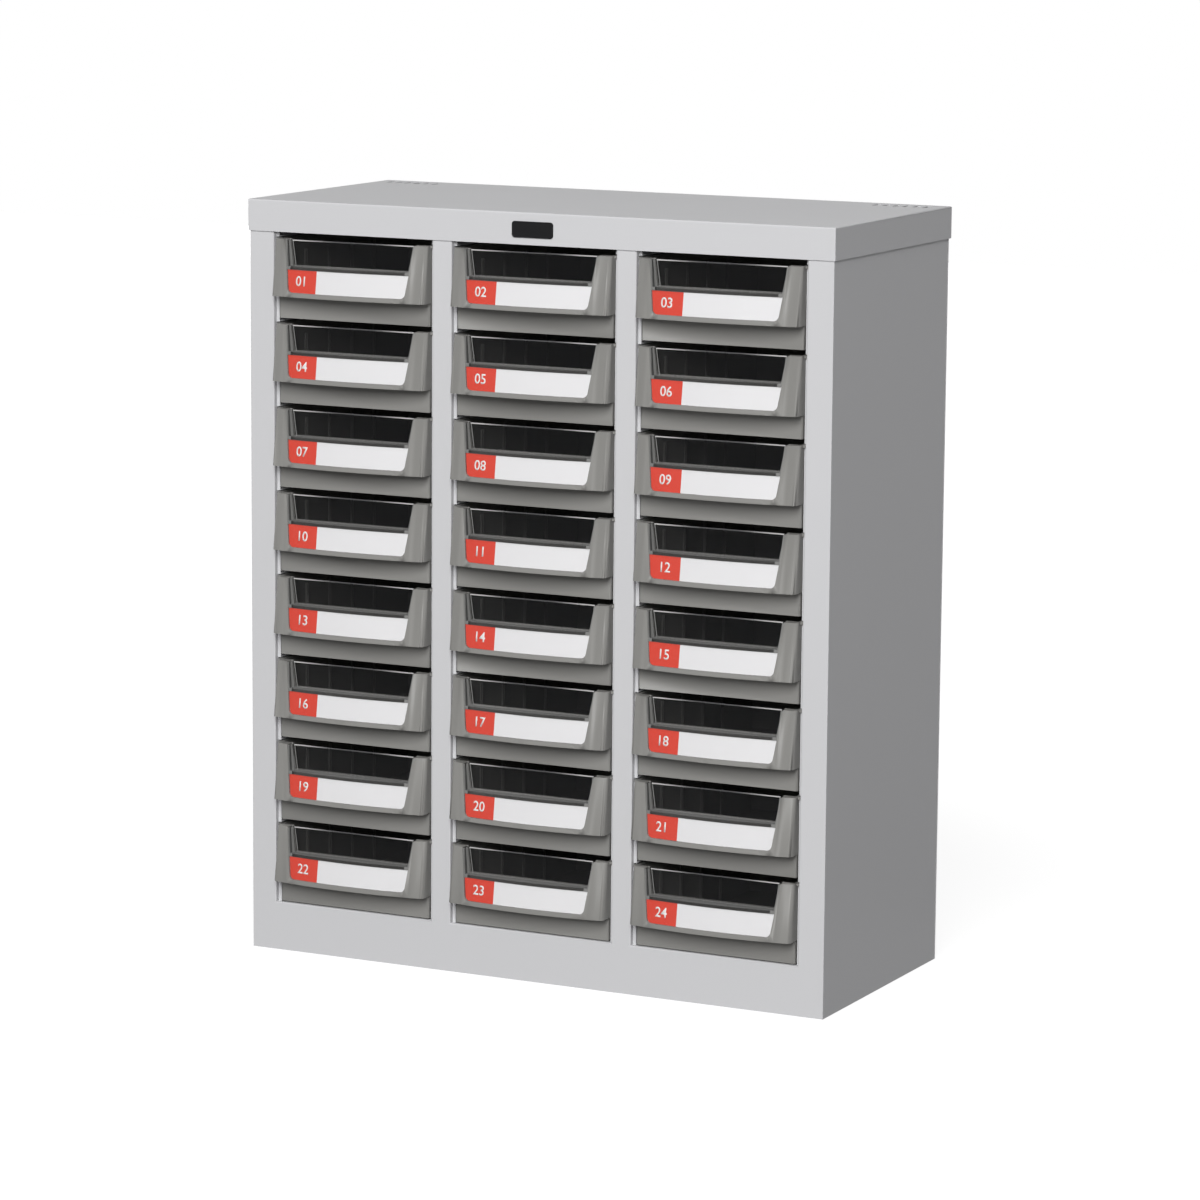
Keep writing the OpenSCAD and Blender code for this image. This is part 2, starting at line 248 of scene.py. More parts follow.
# %% Read the drawers' places
DRAWERS = COLUMNS * ROWS


def drawer_place(number):
    """Origin of a drawer's own frame: opening's middle, front plane, top of the rim."""
    low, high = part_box(f"drawer_{number:02d}_tray")
    return Vector(((low.x + high.x) / 2, front_y, high.z))


row_pitch = drawer_place(1).z - drawer_place(1 + COLUMNS).z
opening_top = drawer_place(1).z + HEAD_GAP
tray_low, tray_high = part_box("drawer_01_tray")
TRAY_H = tray_high.z - tray_low.z
opening_foot = drawer_place(DRAWERS).z - TRAY_H - SILL_GAP
print("row pitch:", round(row_pitch / MM, 2), "mm")

# %% [markdown]
# ## Finishes
#
# Powder coat, moulded plastic, paper and printed plate all share one thing: a fine grain over
# a slow, hardly visible change of tone. That is built once as a node group. It puts out a
# colour, a roughness and a height, and each material places it with its own values.

# %% Node helpers
def feed(tree, entry, value):
    """Links entry to another node's output, or sets it where value is a plain number."""
    if isinstance(value, bpy.types.NodeSocket):
        tree.links.new(value, entry)
    else:
        entry.default_value = value


def maths(tree, operation, *values):
    """The output of a Math node with these values."""
    node = tree.nodes.new("ShaderNodeMath")
    node.operation = operation
    for entry, value in zip(node.inputs, values):
        feed(tree, entry, value)
    return node.outputs[0]


def ramp(tree, value, start, end, low, high, smooth=False):
    """The output of a Map Range node that goes from low at start to high at end."""
    node = tree.nodes.new("ShaderNodeMapRange")
    node.interpolation_type = "SMOOTHSTEP" if smooth else "LINEAR"
    settings = {"Value": value, "From Min": start, "From Max": end, "To Min": low, "To Max": high}
    for name, setting in settings.items():
        feed(tree, node.inputs[name], setting)
    return node.outputs["Result"]


print("node helpers ready")


# %% The shared grain
def socket(group, name, kind, direction, default=None):
    made = group.interface.new_socket(name=name, in_out=direction, socket_type=kind)
    if default is not None:
        made.default_value = default
    return made


def build_grain_group():
    group = bpy.data.node_groups.new("fine_grain", "ShaderNodeTree")
    socket(group, "Colour", "NodeSocketColor", "INPUT", (0.5, 0.5, 0.5, 1))
    socket(group, "Grain per metre", "NodeSocketFloat", "INPUT", 1500.0)
    socket(group, "Tone change", "NodeSocketFloat", "INPUT", 0.02)
    socket(group, "Roughness", "NodeSocketFloat", "INPUT", 0.5)
    socket(group, "Roughness change", "NodeSocketFloat", "INPUT", 0.05)
    socket(group, "Colour", "NodeSocketColor", "OUTPUT")
    socket(group, "Roughness", "NodeSocketFloat", "OUTPUT")
    socket(group, "Height", "NodeSocketFloat", "OUTPUT")
    nodes, link = group.nodes, group.links.new
    given = nodes.new("NodeGroupInput")
    result = nodes.new("NodeGroupOutput")
    place = nodes.new("ShaderNodeTexCoord")
    grain = nodes.new("ShaderNodeTexNoise")
    grain.inputs["Detail"].default_value = 2.0
    cloud = nodes.new("ShaderNodeTexNoise")
    cloud.inputs["Scale"].default_value = 9.0
    cloud.inputs["Detail"].default_value = 3.0
    link(place.outputs["Object"], grain.inputs["Vector"])
    link(place.outputs["Object"], cloud.inputs["Vector"])
    link(given.outputs["Grain per metre"], grain.inputs["Scale"])

    def spread(source, amount):
        """Turns a noise value into a change of plus or minus amount."""
        return maths(group, "MULTIPLY", maths(group, "SUBTRACT", source, 0.5), amount)

    both = maths(group, "ADD", grain.outputs["Fac"], cloud.outputs["Fac"])
    half = maths(group, "MULTIPLY", both, 0.5)
    brightness = maths(group, "ADD", spread(half, given.outputs["Tone change"]), 1.0)
    tone = nodes.new("ShaderNodeVectorMath")
    tone.operation = "SCALE"
    link(given.outputs["Colour"], tone.inputs[0])
    link(brightness, tone.inputs["Scale"])
    link(tone.outputs[0], result.inputs["Colour"])
    rough = maths(group, "ADD", spread(half, given.outputs["Roughness change"]), given.outputs["Roughness"])
    link(rough, result.inputs["Roughness"])
    link(grain.outputs["Fac"], result.inputs["Height"])
    return group


grain_group = build_grain_group()
print("group:", grain_group.name)

# %% Materials with the grain
def linear(level):
    """Turns a 0 to 255 screen level into the linear value that a shader takes."""
    level = level / 255
    return level / 12.92 if level <= 0.04045 else ((level + 0.055) / 1.055) ** 2.4


def screen_colour(red, green, blue):
    return (linear(red), linear(green), linear(blue), 1.0)


def grained_material(name, colour, grain, tone, rough, rough_change, bump, depth, gloss=0.5, metal=0.0):
    """A Principled material whose colour, roughness and bump come from the grain group."""
    material = bpy.data.materials.new(name)
    material.use_nodes = True
    material.diffuse_color = colour
    nodes, link = material.node_tree.nodes, material.node_tree.links.new
    shader = nodes["Principled BSDF"]
    shader.inputs["Specular IOR Level"].default_value = gloss
    shader.inputs["Metallic"].default_value = metal
    group = nodes.new("ShaderNodeGroup")
    group.node_tree = grain_group
    group.inputs["Colour"].default_value = colour
    group.inputs["Grain per metre"].default_value = grain
    group.inputs["Tone change"].default_value = tone
    group.inputs["Roughness"].default_value = rough
    group.inputs["Roughness change"].default_value = rough_change
    bumps = nodes.new("ShaderNodeBump")
    bumps.inputs["Strength"].default_value = bump
    bumps.inputs["Distance"].default_value = depth
    link(group.outputs["Colour"], shader.inputs["Base Color"])
    link(group.outputs["Roughness"], shader.inputs["Roughness"])
    link(group.outputs["Height"], bumps.inputs["Height"])
    link(bumps.outputs["Normal"], shader.inputs["Normal"])
    return material


paint = grained_material("grey_powder_coat", screen_colour(206, 206, 208), grain=900, tone=0.03,
                         rough=0.42, rough_change=0.12, bump=0.25, depth=0.03 * MM, gloss=0.06)
tray_plastic = grained_material("grey_moulded_plastic", screen_colour(134, 133, 130), grain=2600, tone=0.04,
                                rough=0.38, rough_change=0.10, bump=0.2, depth=0.02 * MM, gloss=0.25)
card_white = grained_material("label_card_white", screen_colour(238, 237, 238), grain=1800, tone=0.02,
                              rough=0.7, rough_change=0.08, bump=0.15, depth=0.01 * MM)
card_red = grained_material("label_print_red", screen_colour(220, 50, 14), grain=1800, tone=0.03,
                            rough=0.55, rough_change=0.08, bump=0.1, depth=0.01 * MM)
print_white = grained_material("label_print_white", screen_colour(248, 246, 244), grain=1800, tone=0.02,
                               rough=0.55, rough_change=0.08, bump=0.1, depth=0.01 * MM)
plate_black = grained_material("black_plate", screen_colour(16, 16, 18), grain=1400, tone=0.2,
                               rough=0.35, rough_change=0.1, bump=0.1, depth=0.01 * MM, gloss=0.15)
rivet_metal = grained_material("rivet_aluminium", screen_colour(190, 191, 194), grain=1200, tone=0.06,
                               rough=0.35, rough_change=0.12, bump=0.2, depth=0.02 * MM, metal=1.0)
print("materials:", len(bpy.data.materials))

# %% [markdown]
# ## Clear plastic
#
# A thin clear wall lets nearly all light straight through and only shows by its gloss and its
# edges, which gather light and look bright. A refracting glass would throw the label behind it
# into shadow, so the wall is a mostly see-through surface, and the rounded edges are a
# second, denser and lighter material: a painted highlight for the light they gather. An edge
# is brightest near the corners, so this painted highlight's colour and density follow a UV map
# that runs across the insert. The nearly black pane is painted shade for the dark inside of the
# drawer, and the ledge's top and the lines on the sides are lighter copies, painted light.

# %% Clear plastic and its edges
ACROSS = "across_insert"
# Shares of the insert's width, counted from its middle
DIM_TO, BRIGHT_FROM = 0.12, 0.42


def clear_material(name, colour, alpha, rough, gloss):
    """A see-through Principled material with the grain's roughness."""
    material = bpy.data.materials.new(name)
    material.use_nodes = True
    material.diffuse_color = colour
    nodes, link = material.node_tree.nodes, material.node_tree.links.new
    shader = nodes["Principled BSDF"]
    shader.inputs["Base Color"].default_value = colour
    shader.inputs["Alpha"].default_value = alpha
    shader.inputs["Specular IOR Level"].default_value = gloss
    group = nodes.new("ShaderNodeGroup")
    group.node_tree = grain_group
    group.inputs["Grain per metre"].default_value = 700
    group.inputs["Roughness"].default_value = rough
    group.inputs["Roughness change"].default_value = 0.05
    link(group.outputs["Roughness"], shader.inputs["Roughness"])
    return material


def edge_light(material, dim, alpha_dim, alpha_bright):
    """Dims the painted edge highlight towards the middle of the insert, where no corner feeds it light."""
    tree = material.node_tree
    shader = tree.nodes["Principled BSDF"]
    place = tree.nodes.new("ShaderNodeUVMap")
    place.uv_map = ACROSS
    parts = tree.nodes.new("ShaderNodeSeparateXYZ")
    tree.links.new(place.outputs["UV"], parts.inputs[0])
    from_middle = maths(tree, "ABSOLUTE", maths(tree, "SUBTRACT", parts.outputs["X"], 0.5))
    light = ramp(tree, from_middle, DIM_TO, BRIGHT_FROM, 0.0, 1.0, smooth=True)
    colour = tree.nodes.new("ShaderNodeMix")
    colour.data_type = "RGBA"
    low, high = [entry for entry in colour.inputs if entry.type == "RGBA"]
    low.default_value = dim
    high.default_value = shader.inputs["Base Color"].default_value
    tree.links.new(light, colour.inputs[0])
    mixed = [entry for entry in colour.outputs if entry.type == "RGBA"][0]
    tree.links.new(mixed, shader.inputs["Base Color"])
    tree.links.new(ramp(tree, light, 0.0, 1.0, alpha_dim, alpha_bright), shader.inputs["Alpha"])


clear_wall = clear_material("clear_plastic", screen_colour(150, 152, 156),
                            alpha=0.05, rough=0.10, gloss=0.2)
# Lighter and denser than the wall: a painted highlight for the light that clear edges gather
edge_painted_highlight = clear_material("clear_plastic_painted_highlight", screen_colour(208, 207, 206),
                            alpha=0.60, rough=0.25, gloss=0.4)
# A nearly black, half see-through pane: painted shade for the dark inside of the drawer that shows through
# clear plastic
pane_painted_shade = clear_material("painted_shade_dark_pane", screen_colour(14, 14, 16),
                             alpha=0.32, rough=0.12, gloss=0.2)
# A lighter, denser copy of the clear plastic for the ledge's upward faces: painted light where the lamp
# falls on the ledge's top
ledge_painted_light = clear_material("ledge_painted_light", screen_colour(165, 165, 165),
                             alpha=0.40, rough=0.20, gloss=0.2)
# A lighter copy for strips on the sides and the pane's corners: painted light for the bright lines of thick
# clear plastic; the dark strips between take the painted shade
clear_side = clear_material("clear_side_painted_light", screen_colour(150, 150, 148),
                            alpha=0.60, rough=0.20, gloss=0.2)
# The painted edge highlight is strongest near the corners and dims towards the middle
edge_light(edge_painted_highlight, screen_colour(120, 120, 122), alpha_dim=0.40, alpha_bright=0.75)
print("clear plastic ready")

# %% [markdown]
# ## One drawer: sizes
#
# Everything about the drawer is measured in its own frame. The bezel is a bowed face that
# leans back, with round corners, so its plan is three arcs: one wide bow and two small corners
# that touch it smoothly.

# %% Drawer sizes
TRAY_HALF = 71.55 * MM
RIM_HALF = 74.25 * MM
RIM_T = 2.0 * MM
REAR_RIM, RIM_CORNER_R = 2.0 * MM, 6.0 * MM
WALL = 1.8 * MM
TRAY_L = 221.0 * MM
WALL_BACK = 4.4 * MM
WALL_FRONT = WALL_BACK - WALL
TRAY_END = WALL_FRONT + TRAY_L
CORNER_R, FOOT_R = 1.5 * MM, 3.0 * MM
INNER_CORNER_R = 0.5 * MM
BEZEL_HALF = 72.25 * MM
BEZEL_H = 47.4 * MM
BEZEL_REACH = 15.97 * MM
BEZEL_LEAN = math.radians(8)
BOW_R, BEZEL_CORNER_R = 430.0 * MM, 4.0 * MM
BEZEL_T = 2.0 * MM
WINDOW_TOP_HALF, WINDOW_FOOT_HALF = 61.2 * MM, 55.2 * MM
WINDOW_DROP, WINDOW_R = 43.6 * MM, 4.5 * MM
PANE_T, CLEAR_T, PANE_DROP = 1.5 * MM, 1.2 * MM, 0.6 * MM
SHELF_DROP, PANE_LAP, INSERT_FIT, COVER_SINK = 22.0 * MM, 1.5 * MM, 0.15 * MM, 0.3 * MM
SEAT_FOOT_GAP = 0.3 * MM
PANE_FACE = WALL_FRONT - PANE_T
CARD_DROP, CARD_T = 24.9 * MM, 0.25 * MM
CARD_GAP, CARD_FIT = 0.15 * MM, 0.1 * MM
PANE_EDGE = 1.0 * MM
SIDE_T, SIDE_INSET = 0.9 * MM, 3.4 * MM
FAR = 60.0 * MM
window_slope = (WINDOW_TOP_HALF - WINDOW_FOOT_HALF) / WINDOW_DROP
side_angle = math.atan(window_slope)
print("window sides lean", round(math.degrees(side_angle), 1), "degrees")

# %% [markdown]
# ## The bowed block
#
# The bezel, its hollow, the label cover and the card are all slices of one shape: a block with
# a bowed and leaning front. It could be a scaled cube with moved points, but spinning an edge
# makes true arcs. An upright edge is spun round the bow's centre, then round the corner's
# centre, pulled back, mirrored, leant back, and cut to height. Closing the holes makes it solid.

# %% Spin the bowed block
def bowed_block(name, inset, low, high, back):
    """The solid behind the bezel's face, set in by inset, between two heights."""
    bow = BOW_R - inset
    corner_r = BEZEL_CORNER_R - inset
    bow_y = BOW_R - BEZEL_REACH * math.cos(BEZEL_LEAN)
    corner_x = BEZEL_HALF - BEZEL_CORNER_R
    corner_y = bow_y - math.sqrt((bow - corner_r) ** 2 - corner_x ** 2)
    touch = math.asin(corner_x / (bow - corner_r))
    bpy.ops.object.select_all(action="DESELECT")
    bpy.ops.mesh.primitive_plane_add(size=2 * FAR, rotation=(math.pi / 2, 0, 0))
    block = bpy.context.object
    block.name = name
    bpy.ops.transform.translate(value=(-FAR, bow_y - bow, 0))
    bpy.ops.object.transform_apply(location=True, rotation=True, scale=True)
    # The plane now ends at the middle of the face: only that edge is kept
    edit_edges(block, lambda a, b: a.x < -FAR and b.x < -FAR)
    bpy.ops.mesh.delete(type="VERT")
    bpy.ops.mesh.select_all(action="SELECT")
    bpy.ops.mesh.spin(steps=14, angle=SPIN_SIGN * touch, center=(0, bow_y, 0), axis=(0, 0, 1))
    bpy.ops.mesh.spin(steps=10, angle=SPIN_SIGN * (math.pi / 2 - touch),
                      center=(corner_x, corner_y, 0), axis=(0, 0, 1))
    bpy.ops.mesh.extrude_region_move(TRANSFORM_OT_translate={"value": (0, FAR, 0)})
    bpy.ops.mesh.select_all(action="SELECT")
    bpy.ops.mesh.remove_doubles(threshold=NEAR)
    leave_edit()
    finish_with(block, "MIRROR", use_axis=(True, False, False), use_mirror_merge=True,
                merge_threshold=NEAR)
    block.rotation_euler = (-BEZEL_LEAN, 0, 0)
    block.location = (0, 0, -BEZEL_H)
    bpy.ops.object.transform_apply(location=True, rotation=True, scale=True)
    ends = (((0, 0, high), (0, 0, 1)), ((0, 0, low), (0, 0, -1)), ((0, back, 0), (0, 1, 0)))
    slice_piece(block, ends, clear_outer=True)
    edit_edges(block, lambda a, b: abs(a.y - back) < NEAR and abs(b.y - back) < NEAR)
    bpy.ops.mesh.edge_face_add()
    bpy.ops.mesh.select_all(action="SELECT")
    bpy.ops.mesh.fill_holes(sides=0)
    bpy.ops.mesh.select_all(action="SELECT")
    bpy.ops.mesh.normals_make_consistent(inside=False)
    leave_edit()
    return block


# The operator's negative angle turns an upright edge from the middle towards +X
SPIN_SIGN = -1
trial = bowed_block("trial_block", 0, -BEZEL_H, 0, WALL_BACK)
print("bowed block:", triangles(trial), "triangles,", [round(v / MM, 1) for v in trial.dimensions])
bpy.data.objects.remove(trial, do_unlink=True)

# %% [markdown]
# ## The window's outline
#
# The window is open at the top, its sides lean out and its lower corners are round. It cuts
# the bezel, and slightly smaller it also trims the clear insert and the card, so it is one
# helper: a cube whose upper edges are pulled apart and whose lower edges are bevelled.

# %% Window-shaped block
def window_block(name, inset, front, back, foot=-WINDOW_DROP, corner_r=WINDOW_R):
    """A block with the window's outline, set in by inset, between two places along Y."""
    top = 2 * PAST
    spread = inset / math.cos(side_angle)
    half_foot = WINDOW_TOP_HALF + foot * window_slope - spread
    half_top = WINDOW_TOP_HALF + top * window_slope - spread
    block = new_block(name, (-half_foot, half_foot), (front, back), (foot, top))
    edit_faces(block, lambda centre, normal: normal.z > 0.5)
    bpy.ops.transform.resize(value=(half_top / half_foot, 1, 1))
    leave_edit()
    if corner_r > inset:
        # The side turns away from the foot by less than a right angle
        reach = (corner_r - inset) * math.tan((math.pi / 2 - side_angle) / 2)
        round_edges(block, reach, 6, along_foot(foot))
    return block


trial = window_block("trial_block", 0, 0, WALL_FRONT)
print("window block:", [round(v / MM, 1) for v in trial.dimensions])
bpy.data.objects.remove(trial, do_unlink=True)

# %% [markdown]
# ## The drawer's moulding
#
# Tray, rim and bezel are one injection moulding with walls under 2 mm. Solids are joined first
# and hollowed after, as the mould would do it: that keeps the walls even and the corners
# closed. Small ribs in pairs hold cross dividers, and two ears at the rear stop the drawer
# before it falls out.

# %% Bezel
moulding = bowed_block("drawer_moulding", 0, -BEZEL_H, 0, WALL_BACK)
combine(moulding, bowed_block("hollow", BEZEL_T, BEZEL_T - BEZEL_H, -BEZEL_T, WALL_FRONT), "DIFFERENCE")
combine(moulding, window_block("window_cut", 0, -FAR, WALL_FRONT), "DIFFERENCE")
print("bezel:", triangles(moulding), "triangles")


# %% Tray
def tray_block(name, inset, top):
    """A tray-shaped block with round corners, set in by inset."""
    half = TRAY_HALF - inset
    foot = inset - TRAY_H
    block = new_block(name, (-half, half), (WALL_FRONT + inset, TRAY_END - inset), (foot, top))
    round_edges(block, max(CORNER_R - inset, INNER_CORNER_R), 4, upright)
    round_edges(block, FOOT_R - inset, 5, along_foot(foot))
    return block


combine(moulding, tray_block("tray", 0, -RIM_T / 2), "UNION")
rim = new_block("rim", (-RIM_HALF, RIM_HALF), (WALL_FRONT, TRAY_END + REAR_RIM), (-RIM_T, 0))
round_edges(rim, RIM_CORNER_R, 6, lambda a, b: upright(a, b) and a.y > TRAY_END)
combine(moulding, rim, "UNION")
combine(moulding, tray_block("cavity", WALL, PAST), "DIFFERENCE")
seat_hole = window_block("seat_hole", INSERT_FIT + PANE_LAP, WALL_FRONT - PAST, WALL_BACK + PAST,
                         foot=SEAT_FOOT_GAP - SHELF_DROP, corner_r=0)
combine(moulding, seat_hole, "DIFFERENCE")
print("tray with bezel:", triangles(moulding), "triangles")

# %% Divider ribs and stop ears
RIB_ROWS, RIB_PITCH, RIB_SLOT = 4, 39.0 * MM, 1.6 * MM
RIB_T, RIB_PROUD, RIB_DROP = 1.2 * MM, 1.5 * MM, 12.0 * MM
EAR_Y, EAR_L, EAR_H, EAR_TOP = 186.0 * MM, 12.0 * MM, 10.0 * MM, -4.3 * MM
face = TRAY_HALF - WALL
for side in (-1, 1):
    for row in range(1, RIB_ROWS + 1):
        for end in (-1, 1):
            y = WALL_BACK + row * RIB_PITCH + end * (RIB_SLOT + RIB_T) / 2
            x = sorted((side * (face - RIB_PROUD), side * (face + WALL / 2)))
            rib = new_block("rib", x, (y - RIB_T / 2, y + RIB_T / 2), (WALL / 2 - TRAY_H, -RIB_DROP))
            combine(moulding, rib, "UNION")
    x = sorted((side * (TRAY_HALF - WALL / 2), side * RIM_HALF))
    ear = new_block("ear", x, (EAR_Y, EAR_Y + EAR_L), (EAR_TOP - EAR_H, EAR_TOP))
    combine(moulding, ear, "UNION")
print("ribs:", 4 * RIB_ROWS, "ears: 2")

# %% Soften the moulding
MOULDED_EDGE = 0.35 * MM
soften(moulding, MOULDED_EDGE)
moulding.data.materials.append(tray_plastic)
print("moulding:", triangles(moulding), "triangles,", [round(v / MM, 1) for v in moulding.dimensions])

# %% [markdown]
# ## The clear insert
#
# One clear moulding drops into the window from above. It is an upright pane, a ledge under it
# and a bowed label cover in front, joined by thin sides that lean in towards the pane, so that
# it comes out of its mould. It starts as the solid that fills the window and loses two blocks:
# the recess in front of the pane and the space behind the label. Its rounded edges take the
# denser, lighter material, a painted highlight, by the bevel modifier's own material setting.
# Bisecting the sides into strips gives them painted light and painted shade: light and dark
# lines in place of those that thick clear plastic shows. The pane itself is painted dark, as
# painted shade for the dim inside of the drawer behind it, and the ledge's top is painted light.

# %% Model the insert
insert = bowed_block("clear_insert", COVER_SINK, -WINDOW_DROP, -PANE_DROP, WALL_FRONT)
combine(insert, window_block("trim", INSERT_FIT, -FAR, WALL_FRONT + PAST), "INTERSECT")
recess = window_block("recess", INSERT_FIT + SIDE_T, -FAR, PANE_FACE, foot=-SHELF_DROP, corner_r=0)
# The sides lean in by this share of the way back to the pane
SIDE_SLOPE = 0.385
funnel = window_block("funnel", SIDE_INSET * math.cos(side_angle), -FAR, PANE_FACE,
                      foot=-SHELF_DROP - PAST, corner_r=0)
edit_faces(funnel, lambda centre, normal: normal.y < -0.9)
pane_half = WINDOW_TOP_HALF - SIDE_INSET
bpy.ops.transform.resize(value=(1 + (FAR + PANE_FACE) * SIDE_SLOPE / pane_half, 1, 1))
leave_edit()
combine(recess, funnel, "INTERSECT")
combine(insert, recess, "DIFFERENCE")
behind = bowed_block("behind_label", COVER_SINK + CLEAR_T, -WINDOW_DROP - PAST,
                     -SHELF_DROP - CLEAR_T, WALL_FRONT + PAST)
combine(insert, behind, "DIFFERENCE")
insert.data.materials.clear()
for finish in (clear_wall, edge_painted_highlight, pane_painted_shade, ledge_painted_light, clear_side):
    insert.data.materials.append(finish)
WALL_FINISH, EDGE_FINISH, PAINTED_SHADE_FINISH, LEDGE_FINISH, SIDE_FINISH = range(5)
print("insert:", triangles(insert), "triangles")

# %% Divide the insert into strips
# The strips cut here alternate painted light and painted shade in place of the lines that thick clear
# plastic shows
COVER_LAP, CORNER_LINE, CLEAR_EDGE_R = 0.3 * MM, 0.8 * MM, 0.3 * MM
PANE_TOP, COVER_TOP = -PANE_DROP - PANE_EDGE, -CARD_DROP + COVER_LAP
# Three cuts across the sides: place on the way from the bezel's face to the pane, and lean
side_cuts = ((-3.6 * MM, 0.115), (-2.7 * MM, 0.07), (-0.9 * MM, 0.03))


def behind_cut(point, cut):
    """True where point lies further back than the cut."""
    return point.y - cut[1] * point.z > cut[0]


cuts = [((0, 0, height), (0, 0, 1)) for height in (PANE_TOP, COVER_TOP)]
cuts += [((0, place, 0), (0, 1, -lean)) for place, lean in side_cuts]
cuts += [((side * (pane_half - CORNER_LINE), 0, 0), (side, 0, -window_slope)) for side in (-1, 1)]
slice_piece(insert, cuts)


# Each face gets clear plastic, the painted edge highlight, painted light on the ledge's top and the side
# lines, or painted shade on the pane and the dark side strips
def strip_finish(point, normal):
    """The finish of the insert's face with this centre and normal."""
    if point.z < COVER_TOP:
        return WALL_FINISH
    if normal.z > 0.9 and point.z < PANE_TOP:
        return LEDGE_FINISH
    if point.y > PANE_FACE - NEAR:
        if point.z > PANE_TOP and normal.y < -0.9:
            return EDGE_FINISH
        in_corner = abs(point.x) - window_slope * point.z > pane_half - CORNER_LINE
        on_front = normal.y < -0.9 and point.z > -SHELF_DROP
        return SIDE_FINISH if in_corner and on_front else PAINTED_SHADE_FINISH
    if abs(normal.x) > 0.5 and point.z > -SHELF_DROP:
        depth = sum(behind_cut(point, cut) for cut in side_cuts)
        return SIDE_FINISH if depth in (0, 2) else PAINTED_SHADE_FINISH
    if normal.y < -0.9 and point.z > -SHELF_DROP:
        return SIDE_FINISH
    return PAINTED_SHADE_FINISH


for polygon in insert.data.polygons:
    polygon.material_index = strip_finish(polygon.center, polygon.normal)
# The bevelled edges take the painted edge highlight
soften(insert, CLEAR_EDGE_R, material=EDGE_FINISH)
print("insert:", triangles(insert), "triangles,", [round(v / MM, 1) for v in insert.dimensions])

# %% Place the edge light
across = insert.data.uv_layers.new(name=ACROSS)
for loop in insert.data.loops:
    point = insert.data.vertices[loop.vertex_index].co
    across.data[loop.index].uv = (0.5 + point.x / (2 * WINDOW_TOP_HALF), 0.5 + point.z / (2 * WINDOW_DROP))
print("edge light on", len(across.data), "corners")

# %% [markdown]
# ## The label card
#
# A printed card slides in behind the cover and takes its bow. Its left part is printed red,
# and the rest is left white for the owner's own words. The print is a straight cut across the
# card and a second material on one side of it. A plain number on the red tells the drawers
# apart.

# %% Model the card
CARD_SINK = COVER_SINK + CLEAR_T + CARD_GAP
RED_END_X = -28.0 * MM
card = bowed_block("label_card", CARD_SINK, -WINDOW_DROP, -CARD_DROP, 0)
card_back = bowed_block("card_back", CARD_SINK + CARD_T, -WINDOW_DROP - PAST, PAST, PAST)
combine(card, card_back, "DIFFERENCE")
combine(card, window_block("card_trim", INSERT_FIT + CARD_FIT, -FAR, WALL_FRONT), "INTERSECT")
slice_piece(card, [((RED_END_X, 0, 0), (1, 0, 0))])
card.data.materials.clear()
card.data.materials.append(card_white)
card.data.materials.append(card_red)
for polygon in card.data.polygons:
    polygon.material_index = int(polygon.center.x < RED_END_X)
shade_smooth(card, 30)
print("card:", triangles(card), "triangles")

# %% Numbers on the red print
NUMBER_X, NUMBER_Z, NUMBER_SIZE = -42.8 * MM, -34.3 * MM, 11.5 * MM
PRINT_T, STROKE_GAIN = 0.03 * MM, 0.012


def card_number(number):
    """The drawer's number as a thin film of print on the card's bowed face."""
    bpy.ops.object.select_all(action="DESELECT")
    bpy.ops.object.text_add()
    digits = bpy.context.object
    digits.name = f"drawer_{number:02d}_number"
    digits.data.body = f"{number:02d}"
    digits.data.size = NUMBER_SIZE
    digits.data.offset = STROKE_GAIN * NUMBER_SIZE
    digits.data.align_x = "CENTER"
    digits.data.align_y = "CENTER"
    digits.data.resolution_u = 5
    bpy.ops.object.convert(target="MESH")
    digits.rotation_euler = (math.pi / 2, 0, 0)
    digits.location = (NUMBER_X, -FAR, NUMBER_Z)
    bpy.ops.object.transform_apply(location=True, rotation=True, scale=True)
    finish_with(digits, "SHRINKWRAP", target=card, wrap_method="PROJECT", use_project_y=True,
                use_positive_direction=True, use_negative_direction=False, offset=PRINT_T)
    finish_with(digits, "SOLIDIFY", thickness=PRINT_T, offset=-1)
    digits.data.materials.clear()
    digits.data.materials.append(print_white)
    return digits


print("number type:", round(NUMBER_SIZE / MM, 1), "mm")

# %% [markdown]
# ## Twenty-four drawers
#
# The three pieces are copied into every opening. Each copy gets its own mesh, moved to its
# place, and rides on its drawer, so that the moulding, insert, card and number slide together.

# %% Copy the drawers
def place_copy(master, name, place):
    """A copy of master with its own mesh, moved to place."""
    copy = bpy.data.objects.new(name, master.data.copy())
    copy.data.name = name
    copy.data.transform(Matrix.Translation(place))
    bpy.context.scene.collection.objects.link(copy)
    return copy


def fit_drawer(number):
    body = f"drawer_{number:02d}"
    place = drawer_place(number)
    tray = place_copy(moulding, f"{body}_moulding", place)
    clear = place_copy(insert, f"{body}_insert", place)
    label = place_copy(card, f"{body}_card", place)
    digits = card_number(number)
    digits.data.transform(Matrix.Translation(place))
    for piece in (tray, clear, label, digits):
        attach(piece, body)
    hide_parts(f"{body}_tray")
    for piece in (clear, label, digits):
        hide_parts(f"{body}_window")


for number in range(1, DRAWERS + 1):
    fit_drawer(number)
for master in (moulding, insert, card):
    bpy.data.objects.remove(master, do_unlink=True)
print("drawers:", DRAWERS)

# %% [markdown]
# ## Top cap
#
# The cap is one sheet folded down on four sides over the casing. A cube without its lower face
# is that shape already. Its edges are bevelled as the press would bend them, the sheet gets its
# thickness inwards, and twelve small slots are cut in the rear corners.

